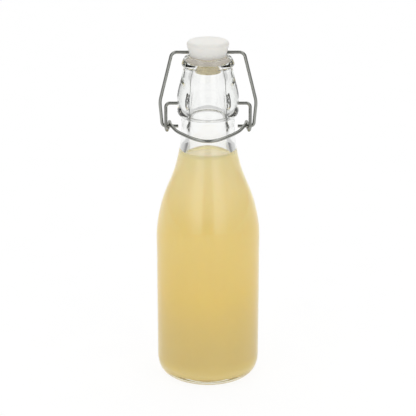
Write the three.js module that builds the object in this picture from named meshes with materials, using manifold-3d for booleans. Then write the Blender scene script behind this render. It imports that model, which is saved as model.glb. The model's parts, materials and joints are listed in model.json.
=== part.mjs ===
// Small swing-top glass bottle: a clear bottle with a glass head, a plastic stopper on a rubber
// gasket, and the two sprung wires that clamp it. Millimetres, +Z up, front of the bottle at -Y.
// The origin is the centre of the ring that the bottle stands on.
import * as THREE from 'three';
import { mergeVertices } from 'three/addons/utils/BufferGeometryUtils.js';
import Module from 'manifold-3d';

const wasm = await Module();
wasm.setup();

// ---- driving dimensions -------------------------------------------------------------------
const BODY_R = 29;             // outer radius of the straight body
const BODY_TOP_Z = 88;         // where the shoulder starts
const FOOT_R = 23;             // outer radius of the ring that the bottle stands on
const FOOT_INNER_R = 20;       // inner radius of that ring
const HEEL_H = 10.1;           // height of the rounded heel
const PUNT_RISE = 1.8;         // how far the underside domes up in the middle
const FLOOR_Z = 4.8;           // inside floor at the middle
const BORE_BODY_R = 26.2;      // inside radius of the body
const NECK_R = 14.45;          // thinnest part of the neck, just under the head
const NECK_TOP_Z = 151;
const LIP_R = 14.5;            // ridge round the lip
const LIP_Z = 181.2;
const MOUTH_Z = 185.7;         // top of the glass
const MOUTH_R = 8.2;           // bore of the mouth, below the gasket's seat
const SEAT_Z = 182;            // ledge that the gasket lands on
const SEAT_R = 10.5;           // seat radius at the ledge

const GAP = 0.3;               // clearance between pieces that touch
const WIRE_R = 0.9;            // both wires
const PIN_Z = 159.2;           // lever pivots, in the dimples of the glass head
const PIN_TIP_X = 13.3;
const DIMPLE_TIP_X = 12.7;     // bottom of each dimple
const DIMPLE_R = 3.1;          // dimple radius half way in
const DIMPLE_FLARE = 0.8;      // how much wider it is at the surface of the head

const LEVER_X = 23.2;          // lever legs
const EYE_Y = 1;               // centre of the lever's eyes, just over centre
const EYE_Z = 145.9;
const EYE_R = 2.4;             // centreline radius of an eye
const EYE_EXIT_X = 21.15;      // where the wire leaves an eye for the thumb loop
const THUMB_SLOPE = 0.314;     // fall of the thumb loop towards the front, radians

const BAR_Z = 187.8;           // the bail's cross-bar
const BAR_X = 19.6;            // half width of the bail at its top
const BAIL_WIDE_X = 26.7;      // widest place, beside the glass head
const BAIL_WIDE_Z = 159.8;
const BAIL_LOW_X = 25.6;
const BAIL_LOW_Z = 150.2;
const BAIL_BEND_R = 3.2;       // top corners
const HOOK_BEND_R = 2.2;
const HOOK_TIP_X = 16.4;

const STOPPER_R = 11.6;        // widest part of the stopper's head
const STOPPER_WIDE_Z = 192.2;
const STOPPER_TOP_Z = 195;
const STOPPER_RIM_R = 9.8;     // lower rim of the head
const STOPPER_RIM_Z = 185.5;
const NOSE_R = 6.8;
const NOSE_Z = 176.2;
const NOSE_ROUND = 2;
const GASKET_TOP_R = 10.35;
const GASKET_LOW_R = 10.15;

const ROUND_STEPS = 36;        // facets round the bottle
const SMALL_STEPS = 32;        // facets round the stopper and the gasket
const WIRE_SIDES = 8;

// ---- helpers ------------------------------------------------------------------------------
function material(color, roughness, metalness) {
  return new THREE.MeshStandardMaterial({ color, roughness, metalness });
}

const glass = () => material(0xe6ecea, 0.05, 0);
const whitePlastic = () => material(0xefeeea, 0.35, 0);
const rubber = () => material(0xb9b3a6, 0.7, 0);
const platedSteel = () => material(0xb4b6b2, 0.3, 1);

function point(r, z) {
  return new THREE.Vector2(r, z);
}

// A smooth outline through a few points, given from low to high or in the order of travel.
function smooth(points, steps) {
  return new THREE.SplineCurve(points.map(([r, z]) => point(r, z))).getPoints(steps);
}

// A stretch of an ellipse between two angles, in degrees.
function ellipse(r, z, halfWidth, halfHeight, from, to, steps) {
  const rad = THREE.MathUtils.degToRad;
  const curve = new THREE.EllipseCurve(r, z, halfWidth, halfHeight, rad(from), rad(to), to < from);
  return curve.getPoints(steps);
}

// Drops repeated points where two stretches of an outline meet.
function joinOutline(...stretches) {
  const outline = [];
  for (const p of stretches.flat()) {
    const last = outline.at(-1);
    if (!last || last.distanceTo(p) > 0.01) outline.push(p);
  }
  return outline;
}

// Turns an outline about the Z axis. The outline runs bottom to top on the outside.
function turned(outline, steps) {
  const geometry = new THREE.LatheGeometry(outline, steps);
  geometry.rotateX(Math.PI / 2);
  return geometry;
}

function toSolid(geometry) {
  const bare = geometry.clone();
  bare.deleteAttribute('normal');
  bare.deleteAttribute('uv');
  const merged = mergeVertices(bare, 1e-4);
  return new wasm.Manifold(new wasm.Mesh({
    numProp: 3,
    vertProperties: new Float32Array(merged.attributes.position.array),
    triVerts: new Uint32Array(merged.index.array),
  }));
}

function toGeometry(solid) {
  const mesh = solid.getMesh();
  const geometry = new THREE.BufferGeometry();
  geometry.setAttribute('position', new THREE.BufferAttribute(mesh.vertProperties, 3));
  geometry.setIndex(new THREE.BufferAttribute(mesh.triVerts, 1));
  geometry.computeVertexNormals();
  return geometry;
}

function named(name, geometry, finish) {
  const mesh = new THREE.Mesh(geometry, finish);
  mesh.name = name;
  return mesh;
}

// A wire bent along a route. Each stretch of the route is a curve of its own.
function wire(route, steps) {
  const section = new THREE.Shape();
  section.absarc(0, 0, WIRE_R, 0, 2 * Math.PI);
  return new THREE.ExtrudeGeometry(section, {
    steps,
    extrudePath: route,
    curveSegments: WIRE_SIDES / 2,
    bevelEnabled: false,
  });
}

// Straight stretches between corners, with each inner corner rounded to its own radius.
function bentRoute(corners, radii) {
  const route = new THREE.CurvePath();
  let from = corners[0];
  for (let i = 1; i < corners.length - 1; i += 1) {
    const into = corners[i].clone().sub(corners[i - 1]).normalize();
    const out = corners[i + 1].clone().sub(corners[i]).normalize();
    const reach = radii[i - 1] * Math.tan(into.angleTo(out) / 2);
    const start = corners[i].clone().addScaledVector(into, -reach);
    const end = corners[i].clone().addScaledVector(out, reach);
    route.add(new THREE.LineCurve3(from, start));
    route.add(new THREE.QuadraticBezierCurve3(start, corners[i], end));
    from = end;
  }
  route.add(new THREE.LineCurve3(from, corners.at(-1)));
  return route;
}

// ---- glass bottle -------------------------------------------------------------------------
function bottleOutside() {
  const underside = smooth([[0, PUNT_RISE], [10, 1.4], [17, 0.4], [FOOT_INNER_R, 0]], 5);
  const heel = ellipse(FOOT_R, HEEL_H, BODY_R - FOOT_R, HEEL_H, -90, 0, 6);
  const shoulder = smooth([
    [BODY_R, BODY_TOP_Z - 24], [BODY_R + 0.1, BODY_TOP_Z - 6], [27.55, 96], [25.55, 104],
    [23.4, 110], [20.9, 116], [18.7, 122], [17.15, 128], [15.8, 134], [15.1, 140],
    [NECK_R, NECK_TOP_Z],
  ], 16);
  const head = smooth([
    [NECK_R, NECK_TOP_Z], [15.6, 153.6], [16.55, 155.9], [17, 158.8], [17.05, 161.9],
    [16.8, 164.8], [16.1, 168.3], [14.95, 172.6], [13.75, 177.8], [13.6, 180.1],
    [LIP_R, LIP_Z],
  ], 16);
  const lip = smooth([[LIP_R, LIP_Z], [14.2, 182.7], [13.1, 184.7], [11.75, MOUTH_Z]], 3);
  return joinOutline(underside, heel, shoulder, head, lip);
}

function bottleInside() {
  const seat = smooth([[11.05, MOUTH_Z], [10.7, 184.6], [SEAT_R, SEAT_Z]], 3);
  const throat = smooth([
    [MOUTH_R, SEAT_Z - 0.5], [MOUTH_R, 178.5], [9, 174.5], [9.6, 169], [9.6, 158],
    [9.9, 147], [10.9, 138], [12.4, 132], [14.2, 126], [16.8, 119], [20.2, 111],
    [22.9, 104], [25, 96], [BORE_BODY_R, BODY_TOP_Z - 3],
  ], 16);
  const heel = ellipse(17.5, 13.5, BORE_BODY_R - 17.5, 9.5, 0, -90, 5);
  const floor = smooth([[17.5, 4], [9, 4.45], [0, FLOOR_Z]], 2);
  return joinOutline(seat, throat, heel, floor);
}

// The two round-bottomed dimples that the lever's pins turn in.
function dimple(side) {
  const depth = 2.4;
  const clearOfHead = DIMPLE_TIP_X + depth + 3;
  const outline = joinOutline(
    ellipse(0, DIMPLE_TIP_X + depth, DIMPLE_R, depth, -90, 0, 6),
    [point(DIMPLE_R + DIMPLE_FLARE, clearOfHead), point(0, clearOfHead)],
  );
  const geometry = turned(outline, 24);
  geometry.rotateY(side * Math.PI / 2);
  geometry.translate(0, 0, PIN_Z);
  return toSolid(geometry);
}

function glassBottle() {
  const outline = joinOutline(bottleOutside(), bottleInside());
  const blank = toSolid(turned(outline, ROUND_STEPS));
  const solid = blank.subtract(dimple(1)).subtract(dimple(-1));
  return named('glass_bottle', toGeometry(solid), glass());
}

// ---- stopper and gasket -------------------------------------------------------------------
function stopper() {
  const nose = joinOutline(
    [point(0, NOSE_Z)],
    ellipse(NOSE_R - NOSE_ROUND, NOSE_Z + NOSE_ROUND, NOSE_ROUND, NOSE_ROUND, -90, 0, 4),
    [point(NOSE_R, STOPPER_RIM_Z)],
  );
  const head = joinOutline(
    smooth([[STOPPER_RIM_R, STOPPER_RIM_Z], [10.7, 188.6], [STOPPER_R, STOPPER_WIDE_Z]], 4),
    ellipse(STOPPER_R - 2.1, STOPPER_WIDE_Z, 2.1, 2.1, 0, 90, 4),
    smooth([[9.5, 194.3], [5, 194.8], [0, STOPPER_TOP_Z]], 3),
  );
  const bore = new THREE.CylinderGeometry(WIRE_R + GAP, WIRE_R + GAP, 3 * STOPPER_R, 16);
  bore.rotateZ(Math.PI / 2);
  bore.translate(0, 0, BAR_Z);
  const solid = toSolid(turned(joinOutline(nose, head), SMALL_STEPS)).subtract(toSolid(bore));
  return named('stopper', toGeometry(solid), whitePlastic());
}

function gasket() {
  const top = STOPPER_RIM_Z - GAP;
  const low = SEAT_Z + GAP;
  const inner = NOSE_R + GAP;
  const outline = [
    point(inner, low), point(GASKET_LOW_R - 0.5, low), point(GASKET_LOW_R, low + 0.5),
    point(GASKET_TOP_R, top - 0.5), point(GASKET_TOP_R - 0.4, top), point(inner, top),
    point(inner, low),
  ];
  return named('gasket', toGeometry(toSolid(turned(outline, SMALL_STEPS))), rubber());
}

// ---- wires --------------------------------------------------------------------------------
// The bail: cross-bar, two legs that spread round the glass head, and hooks into the eyes.
function bailWire() {
  const leanAt = (z) => EYE_Y * (BAR_Z - z) / (BAR_Z - EYE_Z);
  const half = [
    [HOOK_TIP_X, EYE_Z], [BAIL_LOW_X - 0.3, EYE_Z], [BAIL_LOW_X, BAIL_LOW_Z],
    [BAIL_WIDE_X, BAIL_WIDE_Z], [BAR_X, BAR_Z],
  ];
  const halfRadii = [HOOK_BEND_R, 12, 14, BAIL_BEND_R];
  const corner = (side) => ([x, z]) => new THREE.Vector3(side * x, leanAt(z), z);
  const corners = [...half.map(corner(-1)), ...half.map(corner(1)).reverse()];
  const radii = [...halfRadii, ...halfRadii.toReversed()];
  return named('bail_wire', wire(bentRoute(corners, radii), 110), platedSteel());
}

// One side of the lever: pin, leg, and three quarters of a turn for the eye.
function leverSide(side) {
  const eyeFront = new THREE.Vector3(side * LEVER_X, EYE_Y - EYE_R, EYE_Z);
  const corners = [
    new THREE.Vector3(side * PIN_TIP_X, 0, PIN_Z), new THREE.Vector3(side * LEVER_X, 0, PIN_Z), eyeFront,
  ];
  const arm = bentRoute(corners, [2.2]);
  const eye = [];
  const turns = 12;
  for (let i = 1; i <= turns; i += 1) {
    const angle = 1.5 * Math.PI * i / turns;
    const x = THREE.MathUtils.lerp(LEVER_X, EYE_EXIT_X, i / turns);
    const y = EYE_Y - EYE_R * Math.cos(angle);
    const z = EYE_Z - EYE_R * Math.sin(angle);
    eye.push(new THREE.Vector3(side * x, y, z));
  }
  return { arm: arm.getSpacedPoints(24), eye };
}

// The thumb loop between the eyes, which rests against the front of the neck.
function thumbLoop() {
  const half = [[20, 3.9], [17.6, 8.6], [14.3, 12], [9.6, 15.6], [4.9, 18.2]];
  const place = ([x, reach]) => new THREE.Vector3(
    x, EYE_Y - reach * Math.cos(THUMB_SLOPE), EYE_Z + EYE_R - reach * Math.sin(THUMB_SLOPE),
  );
  const right = half.map(place);
  const left = half.map(([x, reach]) => place([-x, reach])).reverse();
  return [...right, place([0, 19.2]), ...left];
}

function leverWire() {
  const right = leverSide(1);
  const left = leverSide(-1);
  const route = new THREE.CatmullRomCurve3([
    ...right.arm, ...right.eye, ...thumbLoop(), ...left.eye.reverse(), ...left.arm.reverse(),
  ], false, 'centripetal');
  return named('lever_wire', wire(route, 130), platedSteel());
}

const bottle = new THREE.Group();
bottle.add(glassBottle(), stopper(), gasket(), bailWire(), leverWire());

export default bottle;
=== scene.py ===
"""Looks for a small swing-top bottle: clear glass, a cloudy drink, a white stopper on a rubber gasket,
and two plated wires. Metres, +Z up, the front with the lever's thumb loop towards -Y."""
import json
import math

import bmesh
import bpy
import numpy as np
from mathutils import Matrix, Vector


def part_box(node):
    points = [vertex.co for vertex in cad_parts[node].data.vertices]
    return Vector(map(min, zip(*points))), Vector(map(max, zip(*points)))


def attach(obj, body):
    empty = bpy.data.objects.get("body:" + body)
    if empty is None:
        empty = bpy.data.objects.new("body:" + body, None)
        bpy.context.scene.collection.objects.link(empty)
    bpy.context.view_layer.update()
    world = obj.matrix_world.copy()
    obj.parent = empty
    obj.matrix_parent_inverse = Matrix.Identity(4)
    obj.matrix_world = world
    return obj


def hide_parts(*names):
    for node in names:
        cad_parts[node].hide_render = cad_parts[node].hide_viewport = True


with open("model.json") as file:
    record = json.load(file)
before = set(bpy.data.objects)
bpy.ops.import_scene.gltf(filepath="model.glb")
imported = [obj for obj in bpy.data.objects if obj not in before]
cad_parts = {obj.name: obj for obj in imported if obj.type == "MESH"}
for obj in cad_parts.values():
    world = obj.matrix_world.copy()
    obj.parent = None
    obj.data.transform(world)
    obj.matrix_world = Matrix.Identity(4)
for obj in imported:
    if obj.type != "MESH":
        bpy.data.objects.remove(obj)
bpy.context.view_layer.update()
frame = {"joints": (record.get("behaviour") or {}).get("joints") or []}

MM = 0.001

# ---- sizes, from the frame ------------------------------------------------------------------
JOINTS = {joint["name"]: Vector(joint["pos_m"]) for joint in frame["joints"]}
PIN = JOINTS["lever_swing"]
EYE = JOINTS["eye_turn"]
BAR = JOINTS["stopper_tilt"]

BOTTLE_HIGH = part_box("glass_bottle")[1]
STOPPER_LOW, STOPPER_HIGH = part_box("stopper")
BAIL_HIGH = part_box("bail_wire")[1]

WIRE_R = 0.9 * MM

# ---- camera, fitted to the bottle's height and width -------------------------------------------
CAMERA_DISTANCE = 0.875
CAMERA_ELEVATION = math.radians(18.82)
LOOK_AT = Vector((0.0, 0.0, 0.0983))
LENS_MM = 134.7

# ---- studio light: how bright each part of the tent is ------------------------------------------
TENT_BACK = 1.00
TENT_LOW = 0.62
TENT_FRONT = 1.15
TENT_SIDE = 0.20
TENT_ROOF = 1.10
TENT_GAP = 0.03

# The floor glows less towards the sides and far away: painted shade
FLOOR_SIDES = 0.66
FLOOR_FAR = 0.62
# Colour of the painted pool of drink-coloured light and shade on the floor under the bottle
PAINTED_DRINK_POOL = (0.62, 0.46, 0.14, 1.0)

SOFTBOX_POWER = 0.6


# ---- node helpers --------------------------------------------------------------------------------
class Wire:
    """A node's output that takes part in Python arithmetic. Each operator adds a Math node."""

    def __init__(self, tree, socket):
        self.tree = tree
        self.socket = socket

    def math(self, operation, *others, swap=False):
        values = [self, *others]
        if swap:
            values.reverse()
        return self.tree.add("ShaderNodeMath", {"operation": operation}, dict(enumerate(values)))

    def __add__(self, other):
        return self.math("ADD", other)

    def __sub__(self, other):
        return self.math("SUBTRACT", other)

    def __rsub__(self, other):
        return self.math("SUBTRACT", other, swap=True)

    def __mul__(self, other):
        return self.math("MULTIPLY", other)

    def __truediv__(self, other):
        return self.math("DIVIDE", other)

    __radd__ = __add__
    __rmul__ = __mul__


class Tree:
    """A shader or geometry node tree and the one method that adds a node to it."""

    def __init__(self, node_tree):
        self.node_tree = node_tree

    def add(self, kind, settings=None, inputs=None, out=0):
        node = self.node_tree.nodes.new(kind)
        for name, value in (settings or {}).items():
            if name == "stops":
                self.set_stops(node, value)
            else:
                setattr(node, name, value)
        for name, value in (inputs or {}).items():
            if isinstance(value, Wire):
                self.node_tree.links.new(value.socket, node.inputs[name])
            else:
                node.inputs[name].default_value = value
        return Wire(self, node.outputs[out]) if node.outputs else node

    @staticmethod
    def set_stops(node, stops):
        elements = node.color_ramp.elements
        while len(elements) < len(stops):
            elements.new(0.5)
        for element, (position, color) in zip(elements, stops):
            element.position = position
            element.color = (*color, 1.0)


def new_material(name):
    material = bpy.data.materials.new(name)
    material.use_nodes = True
    material.node_tree.nodes.clear()
    return material, Tree(material.node_tree)


def close_material(tree, shader):
    tree.add("ShaderNodeOutputMaterial", inputs={"Surface": shader})


def object_place(tree):
    return tree.add("ShaderNodeTexCoord", out=3)


def noise(tree, place, scale, detail=3.0, roughness=0.5, stretch=(1.0, 1.0, 1.0)):
    moved = tree.add("ShaderNodeMapping", inputs={"Vector": place, "Scale": stretch})
    return tree.add("ShaderNodeTexNoise", inputs={
        "Vector": moved, "Scale": scale, "Detail": detail, "Roughness": roughness})


def mix_color(tree, factor, first, second):
    return tree.add("ShaderNodeMix", {"data_type": "RGBA"}, {0: factor, 6: first, 7: second}, out=2)


def bump(tree, height, distance, strength=1.0):
    return tree.add("ShaderNodeBump", inputs={
        "Height": height, "Distance": distance, "Strength": strength})


def split(tree, vector):
    """The X, Y and Z of a vector."""
    x = tree.add("ShaderNodeSeparateXYZ", inputs={"Vector": vector})
    return [Wire(tree, output) for output in x.socket.node.outputs]


def grey(level):
    return (level, level, level, 1.0)


def between(tree, value, low, high):
    """0 below low, 1 above high, and a smooth step from one to the other."""
    return tree.add("ShaderNodeMapRange", {"interpolation_type": "SMOOTHSTEP"}, {
        "Value": value, "From Min": low, "From Max": high})


# ---- materials ---------------------------------------------------------------------------------
def clear_glass():
    material, tree = new_material("clear_bottle_glass")
    place = object_place(tree)
    waves = noise(tree, place, 45.0, 1.0, 0.4, (1.0, 1.0, 0.45))
    normal = bump(tree, waves, 0.16 * MM)
    shader = tree.add("ShaderNodeBsdfPrincipled", inputs={
        "Base Color": (1.0, 1.0, 1.0, 1.0),
        "Roughness": 0.0,
        "IOR": 1.5,
        "Transmission Weight": 1.0,
        "Normal": normal,
    })
    depth = tree.add("ShaderNodeVolumeAbsorption", inputs={
        "Color": (0.3, 0.4, 0.25, 1.0), "Density": 5.0})
    tree.add("ShaderNodeOutputMaterial", inputs={"Surface": shader, "Volume": depth})
    return material


def cloudy_drink():
    material, tree = new_material("cloudy_pale_drink")
    place = object_place(tree)
    up = split(tree, place)[2]
    haze = noise(tree, place, 55.0, 4.0, 0.55, (1.0, 1.0, 0.6))
    # The drink's colour runs darker towards the bottom and lighter near the waterline
    low_to_waterline = between(tree, up + (haze - 0.5) * (14 * MM), 0.0, WATERLINE_Z)
    body = tree.add("ShaderNodeValToRGB", {"stops": [
        (0.0, (0.68, 0.53, 0.185)),
        (0.35, (0.82, 0.625, 0.175)),
        (0.75, (0.85, 0.67, 0.225)),
        (1.0, (0.93, 0.79, 0.43)),
    ]}, {"Fac": low_to_waterline})
    specks = noise(tree, place, 900.0, 2.0, 0.7)
    lees = mix_color(tree, between(tree, specks, 0.62, 0.78) * 0.25, body, (0.95, 0.86, 0.6, 1.0))
    shader = tree.add("ShaderNodeBsdfPrincipled", inputs={
        "Base Color": lees,
        "Roughness": 0.12,
        "IOR": 1.34,
        "Subsurface Weight": 0.6,
        "Subsurface Radius": (0.020, 0.016, 0.008),
        "Subsurface Scale": 1.0,
        "Sheen Weight": 0.35,
        "Sheen Roughness": 0.45,
        # Emission: painted light in the drink's own colour, standing in for backlight passing through
        # the cloudy drink
        "Emission Color": lees,
        "Emission Strength": 0.33,
    })
    close_material(tree, shader)
    return material


def white_plastic():
    material, tree = new_material("moulded_white_plastic")
    place = object_place(tree)
    up = split(tree, place)[2]
    blush = noise(tree, place, 120.0, 3.0)
    white = mix_color(tree, blush, (0.88, 0.865, 0.815, 1.0), (0.93, 0.92, 0.88, 1.0))
    # The nose below the rim gets a painted tan in vertical streaks: painted reflection of the drink and
    # painted shade under the gasket; the plastic itself is white
    painted_reflection_streaks = noise(tree, place, 300.0, 4.0, 0.6, (1.0, 1.0, 0.25))
    tan = mix_color(tree, painted_reflection_streaks, (0.88, 0.76, 0.46, 1.0), (0.95, 0.86, 0.60, 1.0))
    # Painted drink reflection and shade on the nose, white above the rim
    color = mix_color(tree, between(tree, up, STOPPER_RIM_Z - 1.5 * MM, STOPPER_RIM_Z), tan, white)
    grain = noise(tree, place, 1500.0, 3.0)
    sink = noise(tree, place, 160.0, 1.0)
    shader = tree.add("ShaderNodeBsdfPrincipled", inputs={
        "Base Color": color,
        "Roughness": 0.30 + grain * 0.12,
        "IOR": 1.49,
        "Subsurface Weight": 0.25,
        "Subsurface Radius": (0.004, 0.0035, 0.003),
        "Subsurface Scale": 1.0,
        # Emission: a faint painted light that brightens the plastic, its painted drink reflection too
        "Emission Color": color,
        "Emission Strength": 0.05,
        "Normal": bump(tree, grain * 0.15 + sink, 0.05 * MM),
    })
    close_material(tree, shader)
    return material


def grey_rubber():
    material, tree = new_material("grey_beige_rubber")
    place = object_place(tree)
    mottle = noise(tree, place, 260.0, 4.0, 0.6)
    grain = noise(tree, place, 2400.0, 3.0, 0.6)
    color = mix_color(tree, mottle, (0.78, 0.715, 0.62, 1.0), (0.88, 0.82, 0.72, 1.0))
    shader = tree.add("ShaderNodeBsdfPrincipled", inputs={
        "Base Color": color,
        "Roughness": 0.58 + mottle * 0.2,
        "IOR": 1.5,
        "Sheen Weight": 0.1,
        # Emission: a faint painted light that brightens the rubber
        "Emission Color": color,
        "Emission Strength": 0.08,
        "Normal": bump(tree, grain, 0.03 * MM),
    })
    close_material(tree, shader)
    return material


def plated_wire():
    """Zinc-plated drawn wire: fine streaks along its run and a slightly uneven plating."""
    material, tree = new_material("plated_drawn_wire")
    run = tree.add("ShaderNodeAttribute", {"attribute_name": "run"}, out=2)
    turn = tree.add("ShaderNodeAttribute", {"attribute_name": "turn"}, out=2)
    around_x = turn.math("COSINE")
    around_y = turn.math("SINE")
    wrapped = tree.add("ShaderNodeCombineXYZ", inputs={"X": around_x, "Y": around_y, "Z": run * 60.0})
    streaks = noise(tree, wrapped, 9.0, 4.0, 0.65)
    place = object_place(tree)
    cloud = noise(tree, place, 420.0, 3.0, 0.55)
    base = mix_color(tree, cloud, (0.285, 0.29, 0.268, 1.0), (0.36, 0.365, 0.34, 1.0))
    worn = mix_color(tree, between(tree, streaks, 0.58, 0.72) * 0.5, base, (0.24, 0.24, 0.22, 1.0))
    shader = tree.add("ShaderNodeBsdfPrincipled", inputs={
        "Base Color": worn,
        "Metallic": 1.0,
        "Roughness": 0.08 + streaks * 0.10,
        "Normal": bump(tree, streaks, 0.008 * MM),
    })
    close_material(tree, shader)
    return material


def pale_floor():
    """White paper lit from below like a light table; painted shade at the sides and far off, and a
    painted pool of drink-coloured light and shade under the bottle.
    """
    material, tree = new_material("pale_floor")
    paper = noise(tree, object_place(tree), 40.0, 3.0)
    color = mix_color(tree, paper, grey(0.11), grey(0.13))
    x, y = split(tree, object_place(tree))[:2]
    away = (x * x + y * y).math("SQRT")
    # Painted shade: the floor glows less towards the sides, and less again far away
    lit = mix_color(tree, between(tree, x.math("ABSOLUTE"), 0.36, 0.8), grey(1.0), grey(FLOOR_SIDES))
    far = mix_color(tree, between(tree, away, 1.15, 1.6), lit, grey(FLOOR_FAR))
    # A painted pool of drink-coloured light and shade under the bottle, where its foot stands
    under = between(tree, away, FOOT_CONTACT_R * MM, (FOOT_R + 0.4) * MM)
    painted_floor_light = mix_color(tree, under, PAINTED_DRINK_POOL, far)
    shader = tree.add("ShaderNodeBsdfPrincipled", inputs={
        "Base Color": color,
        "Roughness": 0.9,
        "Specular IOR Level": 0.0,
        "Emission Color": painted_floor_light,
        "Emission Strength": 0.9,
    })
    close_material(tree, shader)
    return material


# ---- outlines ------------------------------------------------------------------------------------
def fair(points, steps):
    """A curve with steady curvature through a few points: a natural cubic spline by chord length."""
    points = np.array(points, float)
    knots = np.concatenate([[0.0], np.cumsum(np.linalg.norm(np.diff(points, axis=0), axis=1))])
    gaps = np.diff(knots)
    count = len(points)
    system = np.eye(count)
    right = np.zeros_like(points)
    for i in range(1, count - 1):
        system[i, i - 1:i + 2] = gaps[i - 1], 2 * (gaps[i - 1] + gaps[i]), gaps[i]
        slopes = (points[i + 1] - points[i]) / gaps[i] - (points[i] - points[i - 1]) / gaps[i - 1]
        right[i] = 6 * slopes
    bend = np.linalg.solve(system, right)
    at = np.linspace(0.0, knots[-1], steps + 1)
    i = np.clip(np.searchsorted(knots, at, side="right") - 1, 0, count - 2)
    gap = gaps[i][:, None]
    ahead = ((knots[i + 1] - at) / gaps[i])[:, None]
    past = 1 - ahead
    curve = ahead * points[i] + past * points[i + 1]
    curve += ((ahead**3 - ahead) * bend[i] + (past**3 - past) * bend[i + 1]) * gap**2 / 6
    return curve


def arc(center, half_width, half_height, start, end, steps):
    """Part of an ellipse, with its angles in degrees."""
    angles = np.radians(np.linspace(start, end, steps + 1))
    return np.column_stack([
        center[0] + half_width * np.cos(angles), center[1] + half_height * np.sin(angles)])


def outline_of(*stretches):
    """Joins stretches given in millimetres into one outline in metres, without repeated points."""
    points = np.vstack(stretches)
    keep = [0]
    for i in range(1, len(points)):
        if np.linalg.norm(points[i] - points[keep[-1]]) > 0.01:
            keep.append(i)
    return points[keep] * MM


# ---- geometry trees ------------------------------------------------------------------------------
def geometry_tree(name, inputs):
    """A Geometry Nodes tree with a geometry input and named inputs for its sizes."""
    group = bpy.data.node_groups.new(name, "GeometryNodeTree")
    group.interface.new_socket("Geometry", in_out="INPUT", socket_type="NodeSocketGeometry")
    for label, kind in inputs.items():
        group.interface.new_socket(label, in_out="INPUT", socket_type=kind)
    group.interface.new_socket("Geometry", in_out="OUTPUT", socket_type="NodeSocketGeometry")
    tree = Tree(group)
    entry = group.nodes.new("NodeGroupInput")
    return tree, {socket.name: Wire(tree, socket) for socket in entry.outputs if socket.name}


def close_geometry(tree, geometry, material):
    real = tree.add("GeometryNodeRealizeInstances", inputs={"Geometry": geometry})
    smooth = tree.add("GeometryNodeSetShadeSmooth", inputs={"Geometry": real})
    painted = tree.add("GeometryNodeSetMaterial", inputs={"Geometry": smooth, "Material": material})
    tree.add("NodeGroupOutput", inputs={"Geometry": painted})
    return tree.node_tree


def turning_tree():
    """Turns an outline, given as a row of points in the XZ plane, about the Z axis. Each point makes a
    ring. Crowding packs the columns closer on the two sides, where the dimples are."""
    tree, entry = geometry_tree("turned_about_axis", {
        "Columns": "NodeSocketInt", "Crowding": "NodeSocketFloat", "Material": "NodeSocketMaterial"})
    rings = tree.add("GeometryNodeAttributeDomainSize", inputs={"Geometry": entry["Geometry"]})
    grid = tree.add("GeometryNodeMeshGrid", inputs={
        "Size X": 1.0, "Size Y": 1.0, "Vertices X": rings, "Vertices Y": entry["Columns"] + 1})
    place = tree.add("GeometryNodeInputPosition")
    across, along = split(tree, place)[:2]
    ring = ((across + 0.5) * (rings - 1)).math("ROUND")
    point = tree.add("GeometryNodeSampleIndex", {"data_type": "FLOAT_VECTOR", "domain": "POINT"}, {
        "Geometry": entry["Geometry"], "Value": place, "Index": ring})
    radius, height = split(tree, point)[::2]
    angle = (along + 0.5) * math.tau
    angle = angle - entry["Crowding"] * (angle * 2.0).math("SINE") * 0.5
    turned = tree.add("ShaderNodeCombineXYZ", inputs={
        "X": radius * angle.math("COSINE"), "Y": radius * angle.math("SINE"), "Z": height})
    shell = tree.add("GeometryNodeSetPosition", inputs={"Geometry": grid, "Position": turned})
    closed = tree.add("GeometryNodeMergeByDistance", inputs={"Geometry": shell, "Distance": 0.002 * MM})
    return close_geometry(tree, closed, entry["Material"])


def dimple_tree():
    """Presses a round-bottomed dimple into each side of a turned piece, with a soft rim."""
    tree, entry = geometry_tree("pressed_dimples", {
        "Height": "NodeSocketFloat", "Tip": "NodeSocketFloat", "Depth": "NodeSocketFloat",
        "Radius": "NodeSocketFloat", "Flare": "NodeSocketFloat", "Rim": "NodeSocketFloat",
        "Wall": "NodeSocketFloat", "Material": "NodeSocketMaterial"})
    place = tree.add("GeometryNodeInputPosition")
    x, y, z = split(tree, place)
    up = z - entry["Height"]
    far = (y * y + up * up).math("SQRT")
    share = (far / entry["Radius"]).math("MINIMUM", 1.0)
    bowl = entry["Depth"] * (1 - (1 - share * share).math("SQRT"))
    flare = (far - entry["Radius"]).math("MAXIMUM", 0.0) * entry["Flare"]
    pressed = (entry["Tip"] + bowl + flare).math("MINIMUM", 40 * MM)
    side = x.math("ABSOLUTE")
    moved = tree.add("ShaderNodeMath", {"operation": "SMOOTH_MIN"}, {
        0: side, 1: pressed, 2: entry["Rim"]})
    outside = (x * x + y * y).math("SQRT").math("GREATER_THAN", entry["Wall"])
    near = far.math("LESS_THAN", entry["Radius"] + 2 * MM)
    target = tree.add("ShaderNodeCombineXYZ", inputs={
        "X": moved * x.math("SIGN"), "Y": y, "Z": z})
    shaped = tree.add("GeometryNodeSetPosition", inputs={
        "Geometry": entry["Geometry"], "Selection": outside * near, "Position": target})
    return close_geometry(tree, shaped, entry["Material"])


def captured(tree, geometry, name, value):
    """Keeps a value on a curve's points, so that it can be read after the curve is swept."""
    kept = tree.add("GeometryNodeCaptureAttribute", inputs={"Geometry": geometry})
    node = kept.socket.node
    node.capture_items.new("FLOAT", name)
    tree.node_tree.links.new(value.socket, node.inputs[name])
    return kept, Wire(tree, node.outputs[name])


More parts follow.
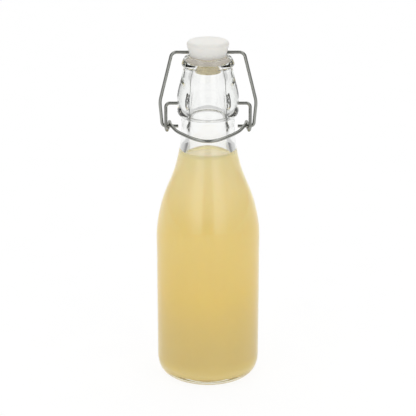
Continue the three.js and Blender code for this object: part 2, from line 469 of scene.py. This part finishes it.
def drawn_tree():
    """A round wire along a route, with closed ends that are rounded over. It stores the distance along
    the wire and the angle round it, for the wire's finish."""
    tree, entry = geometry_tree("drawn_wire", {
        "Radius": "NodeSocketFloat", "Sides": "NodeSocketInt", "Material": "NodeSocketMaterial"})
    curve = tree.add("GeometryNodeMeshToCurve", inputs={"Mesh": entry["Geometry"]})
    length = tree.add("GeometryNodeSplineParameter", out=1)
    factor = tree.add("GeometryNodeSplineParameter")
    whole = tree.add("GeometryNodeCurveLength", inputs={"Curve": curve})
    to_end = length.math("MINIMUM", whole - length)
    ending = (to_end / (entry["Radius"] * 0.5)).math("MINIMUM", 1.0)
    rounded = (1 - (1 - ending) * (1 - ending) * 0.75).math("SQRT")
    kept, run = captured(tree, curve, "run", length)
    sized = tree.add("GeometryNodeSetCurveRadius", inputs={"Curve": kept, "Radius": rounded})
    ring = tree.add("GeometryNodeCurvePrimitiveCircle", inputs={
        "Resolution": entry["Sides"], "Radius": entry["Radius"]})
    profile, turn = captured(tree, ring, "turn", factor * math.tau)
    swept = tree.add("GeometryNodeCurveToMesh", inputs={
        "Curve": sized, "Profile Curve": profile, "Fill Caps": True})
    for name, value in (("run", run), ("turn", turn)):
        swept = tree.add("GeometryNodeStoreNamedAttribute", {"data_type": "FLOAT"}, {
            "Geometry": swept, "Name": name, "Value": value})
    return close_geometry(tree, swept, entry["Material"])


def rule(obj, tree, **values):
    """Adds a Geometry Nodes modifier and sets its named inputs, by their identifiers."""
    modifier = obj.modifiers.new(tree.name, "NODES")
    modifier.node_group = tree
    for item in tree.interface.items_tree:
        key = item.name.lower()
        if item.item_type == "SOCKET" and item.in_out == "INPUT" and key in values:
            modifier[item.identifier] = values[key]
    return obj


def row_of_points(name, points):
    """A piece's starting shape: a row of points joined by edges."""
    mesh = bpy.data.meshes.new(name)
    edges = [(i, i + 1) for i in range(len(points) - 1)]
    mesh.from_pydata([tuple(map(float, p)) for p in points], edges, [])
    obj = bpy.data.objects.new(name, mesh)
    bpy.context.scene.collection.objects.link(obj)
    return obj


def settle(obj, name):
    """Turns a piece with live modifiers into a plain mesh at the origin, with its faces outwards."""
    depsgraph = bpy.context.evaluated_depsgraph_get()
    mesh = bpy.data.meshes.new_from_object(obj.evaluated_get(depsgraph))
    shell = bmesh.new()
    shell.from_mesh(mesh)
    bmesh.ops.dissolve_degenerate(shell, dist=1e-7, edges=shell.edges)
    bmesh.ops.recalc_face_normals(shell, faces=shell.faces)
    shell.to_mesh(mesh)
    shell.free()
    mesh.name = name
    piece = bpy.data.objects.new(name, mesh)
    bpy.context.scene.collection.objects.link(piece)
    bpy.data.objects.remove(obj)
    return piece


def turned_start(name, outline, material, columns, crowding=0.0):
    points = [(r, 0.0, z) for r, z in outline]
    return rule(row_of_points(name + "_outline", points), TURNING,
                columns=columns, crowding=crowding, material=material)


def hand_over(piece, body, slot, *nodes):
    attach(piece, body)
    if nodes:
        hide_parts(*nodes)
    return piece


# ---- the bottle, its outlines in millimetres as radius and height --------------------------------
WATERLINE_Z = 131.6 * MM

BODY_R = 29.0
BULGE_R = BODY_R + 0.05
FOOT_R = 23.0
FOOT_CONTACT_R = 19.0
HEEL_H = 10.1
PUNT_RISE = 1.8
NECK = (14.5, 150.9)
LIP = (14.5, 181.2)
MOUTH_TOP = BOTTLE_HIGH.z / MM
RIM = (11.2, MOUTH_TOP)

BORE_R = 26.25
BORE_HEEL_Z = 13.2
BORE_HEEL_W = 8.25
BORE_HEEL_H = 9.5
SEAT_R = 10.32
SEAT_LEDGE = 182.04
SEAT_BEND = 0.32

DIMPLE = {"height": PIN.z, "tip": 12.7 * MM, "depth": 2.4 * MM, "radius": 3.1 * MM,
          "flare": 3.75, "rim": 0.7 * MM, "wall": 13.2 * MM}


def bottle_outside():
    underside = fair([(0, PUNT_RISE), (6, 1.65), (12, 1.15), (17, 0.4), (19.6, 0.06), (20.6, 0)], 30)
    heel = arc((FOOT_R - 0.6, HEEL_H), BODY_R - FOOT_R + 0.6, HEEL_H, -90, 0, 30)
    body = [(BODY_R + 0.02, 14), (BULGE_R, 30), (BULGE_R, 50)]
    upper = fair([
        (BULGE_R, 50), (BODY_R + 0.04, 62), (BODY_R + 0.06, 76), (28.9, 87), (27.55, 96),
        (25.55, 104), (23.4, 110), (20.9, 116), (18.7, 122), (17.1, 128), (15.85, 134), (15.1, 140),
        (14.7, 146), NECK, (14.55, 152.2), (15.55, 152.7), (16.5, 153.6), (16.88, 155.0),
        (17.02, 157), (17.05, 159.2), (17.05, 161.9), (16.8, 164.8), (16.1, 168.3), (14.95, 172.6),
        (13.8, 177.4), (13.55, 179.9), (14.1, 180.75), LIP, (14.3, 182.2), (13.6, 183.9),
        (12.6, 185.2), (11.75, MOUTH_TOP - 0.12), RIM,
    ], 250)
    return [underside, heel, body, upper]


def bottle_inside():
    mouth = fair([RIM, (10.98, 185.4), (10.82, 185.0), (10.62, 184.6), (10.42, 184.25),
                  (SEAT_R, 183.8), (SEAT_R, 183.2)], 14)
    seat = [*arc((SEAT_R - SEAT_BEND, SEAT_LEDGE + SEAT_BEND), SEAT_BEND, SEAT_BEND, 0, -90, 6),
            (9.7, 182.0), (9.0, 181.75), (8.6, 181.58), (8.34, 181.4)]
    throat = fair([
        (8.24, 181.1), (8.2, 180.5), (8.2, 178.5), (8.9, 174.6), (9.5, 170.5), (9.6, 165), (9.6, 157),
        (9.75, 151), (10.1, 145), (10.9, 138), (12.4, 132), (14.2, 126), (16.8, 119), (20.2, 111),
        (22.9, 104), (25.0, 96), (26.1, 87), (BORE_R, 78), (BORE_R, 68),
    ], 130)
    body = [(BORE_R, 50), (BORE_R, 30)]
    floor_r = BORE_R - BORE_HEEL_W
    heel = arc((floor_r, BORE_HEEL_Z), BORE_HEEL_W, BORE_HEEL_H, 0, -90, 24)
    floor = fair([(floor_r, BORE_HEEL_Z - BORE_HEEL_H), (10, 4.4), (0, 4.8)], 12)
    return [mouth, seat, throat, body, heel, floor]


def glass_bottle(material):
    outline = outline_of(*bottle_outside(), *bottle_inside())
    start = turned_start("glass_bottle", outline, material, columns=176, crowding=0.5)
    rule(start, dimple_tree(), material=material, **DIMPLE)
    return hand_over(settle(start, "bottle_glass"), "bottle", "clear_glass", "glass_bottle")


def drink(material):
    """The drink fills the bottle to the lower neck, wets the glass and climbs it a little."""
    wet = 0.12
    level = WATERLINE_Z / MM
    inside = np.vstack(bottle_inside())
    below = inside[inside[:, 1] < level - 1.2]
    edge_r = float(np.interp(level, inside[::-1][:, 1], inside[::-1][:, 0]))
    rim = fair([(0, level), (edge_r - 4, level), (edge_r - 1.4, level + 0.12),
                (edge_r - 0.25, level + 0.75), (edge_r + wet, level + 1.0)], 30)
    in_heel = below[:, 1] < BORE_HEEL_Z - 0.2
    shell = np.column_stack([below[:, 0] + wet, below[:, 1] - wet * in_heel])
    shell[-1, 0] = 0.0
    start = turned_start("drink", outline_of(rim, shell), material, columns=128)
    return hand_over(settle(start, "drink"), "bottle", "clear_glass")


# ---- stopper and gasket --------------------------------------------------------------------------
STOPPER_RIM_Z = 185.5 * MM
NOSE_R = 6.8
SQUEEZE = 0.04  # how far the rubber is pressed into its seat


def stopper(material):
    nose_z = STOPPER_LOW.z / MM
    top_z = STOPPER_HIGH.z / MM
    widest = STOPPER_HIGH.x / MM
    rim_z = STOPPER_RIM_Z / MM
    outline = outline_of(
        [(0, nose_z), (2.4, nose_z)],
        arc((NOSE_R - 2, nose_z + 2), 2, 2, -90, 0, 10),
        [(NOSE_R, rim_z - 2), (NOSE_R, rim_z - 0.4)],
        arc((NOSE_R + 0.4, rim_z - 0.4), 0.4, 0.4, 180, 90, 4),
        arc((9.3, rim_z + 0.5), 0.5, 0.5, -90, -10, 6),
        fair([(9.82, rim_z + 0.8), (10.25, 187.4), (10.8, 189.3), (11.4, 191.2), (widest, 192.3)], 16),
        arc((widest - 2.3, 192.3), 2.3, 2.15, 0, 72, 16),
        fair([(9.1, 194.52), (6, 194.8), (3, 194.95), (0, top_z)], 12),
    )
    start = turned_start("stopper", outline, material, columns=96)
    hole = cross_hole(WIRE_R + 0.25 * MM, widest * MM)
    cut = start.modifiers.new("cross_hole", "BOOLEAN")
    cut.object = hole
    cut.solver = "EXACT"
    piece = settle(start, "stopper_plug")
    bpy.data.objects.remove(hole)
    return hand_over(piece, "stopper", "white_plastic", "stopper")


def cross_hole(radius, reach):
    """The cutter for the hole that the bail's bar runs through, flared where it leaves the stopper."""
    outline = [(0, -1.2 * reach), (2.2 * radius, -1.2 * reach), (1.35 * radius, -0.98 * reach),
               (radius, -0.86 * reach), (radius, 0.86 * reach), (1.35 * radius, 0.98 * reach),
               (2.2 * radius, 1.2 * reach), (0, 1.2 * reach)]
    cutter = settle(turned_start("cross_hole", outline, None, columns=32), "cross_hole")
    turn = Vector((0, 0, 1)).rotation_difference(Vector((1, 0, 0))).to_matrix().to_4x4()
    cutter.data.transform(turn)
    for vertex in cutter.data.vertices:
        vertex.co += BAR
    return cutter


def gasket(material):
    """A rubber ring round the nose, squeezed on to its ledge in the mouth."""
    low = SEAT_LEDGE - 0.02
    high = STOPPER_RIM_Z / MM - 0.02
    inner = NOSE_R + 0.02
    outer = SEAT_R + SQUEEZE
    outline = outline_of(
        [(inner, high), (inner, low)],
        arc((outer - 0.3, low + 0.3), 0.3, 0.3, -90, 0, 8),
        [(outer, 184.9)],
        arc((outer - 0.4, high - 0.4), 0.4, 0.4, 0, 90, 6),
        [(inner, high)],
    )
    start = turned_start("gasket", outline, material, columns=96)
    return hand_over(settle(start, "rubber_gasket"), "stopper", "grey_rubber", "gasket")


# ---- wires ---------------------------------------------------------------------------------------
SPACING = 0.35 * MM


def rounded_route(corners, radii):
    """Straight stretches with each inner corner bent to its own radius."""
    points = [corners[0]]
    for before, corner, after, radius in zip(corners, corners[1:], corners[2:], radii):
        into = (corner - before).normalized()
        out = (after - corner).normalized()
        angle = into.angle(out)
        reach = radius * math.tan(angle / 2)
        center = corner + (out - into).normalized() * (radius / math.cos(angle / 2))
        start = corner - into * reach - center
        axis = into.cross(out).normalized()
        steps = max(3, int(radius * angle / SPACING))
        for i in range(steps + 1):
            turn = angle * i / steps
            points.append(center + start * math.cos(turn) + axis.cross(start) * math.sin(turn))
    points.append(corners[-1])
    return points


def evenly(points):
    """The same route with a point every so often, drawn as a smooth curve."""
    points = np.array([tuple(p) for p in points])
    keep = np.concatenate([[True], np.linalg.norm(np.diff(points, axis=0), axis=1) > 1e-6])
    points = points[keep]
    run = np.concatenate([[0.0], np.cumsum(np.linalg.norm(np.diff(points, axis=0), axis=1))])
    at = np.linspace(0.0, run[-1], int(run[-1] / SPACING) + 1)
    return np.column_stack([np.interp(at, run, points[:, axis]) for axis in range(3)])


def drawn_wire(name, route, body, node, material):
    start = rule(row_of_points(name + "_route", route), DRAWN, radius=WIRE_R, sides=28,
                 material=material)
    return hand_over(settle(start, name), body, "plated_wire", node)


BAIL_OUT_X = BAIL_HIGH.x - WIRE_R


def bail_wire(material):
    """Cross-bar, two spread legs and the hooks that turn in the lever's eyes."""
    hook_tip, hook_x = 16.4 * MM, 25.3 * MM
    half = [(hook_tip, EYE.z), (hook_x, EYE.z), (25.6 * MM, 150.2 * MM), (BAIL_OUT_X, 159.8 * MM),
            (19.6 * MM, BAR.z)]
    radii = [2.2 * MM, 12 * MM, 14 * MM, 3.2 * MM]

    def place(side, x, z):
        return Vector((side * x, EYE.y * (BAR.z - z) / (BAR.z - EYE.z), z))

    corners = [place(-1, x, z) for x, z in half] + [place(1, x, z) for x, z in reversed(half)]
    route = evenly(rounded_route(corners, radii + radii[::-1]))
    return drawn_wire("bail", route, "bail", "bail_wire", material)


LEVER_X = 23.2 * MM
EYE_TURN_R = 2.4 * MM
EYE_EXIT_X = 21.15 * MM
THUMB_SLOPE = 0.314
THUMB_REACH = 19.2 * MM


def lever_side(side):
    """Pin, leg, and three quarters of a turn for the eye."""
    corners = [Vector((side * 13.3 * MM, 0, PIN.z)), Vector((side * LEVER_X, 0, PIN.z)),
               Vector((side * LEVER_X, EYE.y - EYE_TURN_R, EYE.z))]
    arm = rounded_route(corners, [2.2 * MM])
    turns = 40
    for i in range(1, turns + 1):
        angle = 1.5 * math.pi * i / turns
        x = LEVER_X + (EYE_EXIT_X - LEVER_X) * i / turns
        arm.append(Vector((side * x, EYE.y - EYE_TURN_R * math.cos(angle),
                           EYE.z - EYE_TURN_R * math.sin(angle))))
    return arm


def thumb_loop():
    """The loop between the eyes, in front of the neck."""
    half = [(EYE_EXIT_X / MM, 0), (20.9, 1.6), (20, 3.9), (17.6, 8.6), (14.3, 12), (9.6, 15.6),
            (4.9, 18.2)]
    flat = half + [(0, THUMB_REACH / MM)] + [(-x, reach) for x, reach in half[::-1]]
    curve = fair(flat, 160) * MM
    return [Vector((x, EYE.y - reach * math.cos(THUMB_SLOPE),
                    EYE.z + EYE_TURN_R - reach * math.sin(THUMB_SLOPE))) for x, reach in curve]


def lever_wire(material):
    route = lever_side(1)[:-1] + thumb_loop() + lever_side(-1)[:-1][::-1]
    return drawn_wire("lever", evenly(route), "lever", "lever_wire", material)


# ---- studio --------------------------------------------------------------------------------------
def camera():
    data = bpy.data.cameras.new("camera")
    data.lens = LENS_MM
    data.sensor_width = 36.0
    data.clip_start = 0.01
    eye = LOOK_AT + CAMERA_DISTANCE * Vector(
        (0.0, -math.cos(CAMERA_ELEVATION), math.sin(CAMERA_ELEVATION)))
    obj = bpy.data.objects.new("camera", data)
    obj.location = eye
    obj.rotation_euler = (LOOK_AT - eye).to_track_quat("-Z", "Y").to_euler()
    bpy.context.scene.collection.objects.link(obj)
    bpy.context.scene.camera = obj


def floor(material):
    bpy.ops.mesh.primitive_circle_add(vertices=96, radius=4.0, fill_type="NGON")
    obj = bpy.context.object
    obj.name = "floor"
    obj.data.materials.append(material)


def softbox(name, place):
    data = bpy.data.lights.new(name, "AREA")
    data.size = 0.5
    data.energy = SOFTBOX_POWER
    obj = bpy.data.objects.new(name, data)
    obj.location = place
    obj.rotation_euler = (Vector((0, 0, 0.1)) - Vector(place)).to_track_quat("-Z", "Y").to_euler()
    bpy.context.scene.collection.objects.link(obj)


def surroundings():
    """A white tent that is greyer low down and at the sides, with a dark gap at the front, where the
    camera looks in."""
    world = bpy.data.worlds.new("studio")
    bpy.context.scene.world = world
    world.use_nodes = True
    world.node_tree.nodes.clear()
    tree = Tree(world.node_tree)
    x, y, z = split(tree, tree.add("ShaderNodeTexCoord"))
    side = x.math("ABSOLUTE")
    front = 0 - y
    opening = (1 - between(tree, side, 0.16, 0.32)) * between(tree, front, 0.2, 0.5)
    light = mix_color(tree, between(tree, z, 0.08, 0.35), grey(TENT_LOW), grey(TENT_BACK))
    light = mix_color(tree, between(tree, front, -0.1, 0.5), light, grey(TENT_FRONT))
    light = mix_color(tree, between(tree, side, 0.5, 0.85), light, grey(TENT_SIDE))
    light = mix_color(tree, between(tree, z, 0.5, 0.85), light, grey(TENT_ROOF))
    light = mix_color(tree, opening, light, grey(TENT_GAP))
    background = tree.add("ShaderNodeBackground", inputs={"Color": light, "Strength": 1.0})
    tree.add("ShaderNodeOutputWorld", inputs={"Surface": background})


# ---- build ---------------------------------------------------------------------------------------
TURNING = turning_tree()
DRAWN = drawn_tree()

camera()
floor(pale_floor())
surroundings()
softbox("left_softbox", (-0.6, -0.5, 1.3))
softbox("right_softbox", (0.6, -0.5, 1.3))

glass_bottle(clear_glass())
drink(cloudy_drink())
stopper(white_plastic())
gasket(grey_rubber())
wire_finish = plated_wire()
bail_wire(wire_finish)
lever_wire(wire_finish)

bpy.context.scene.view_settings.view_transform = "Standard"
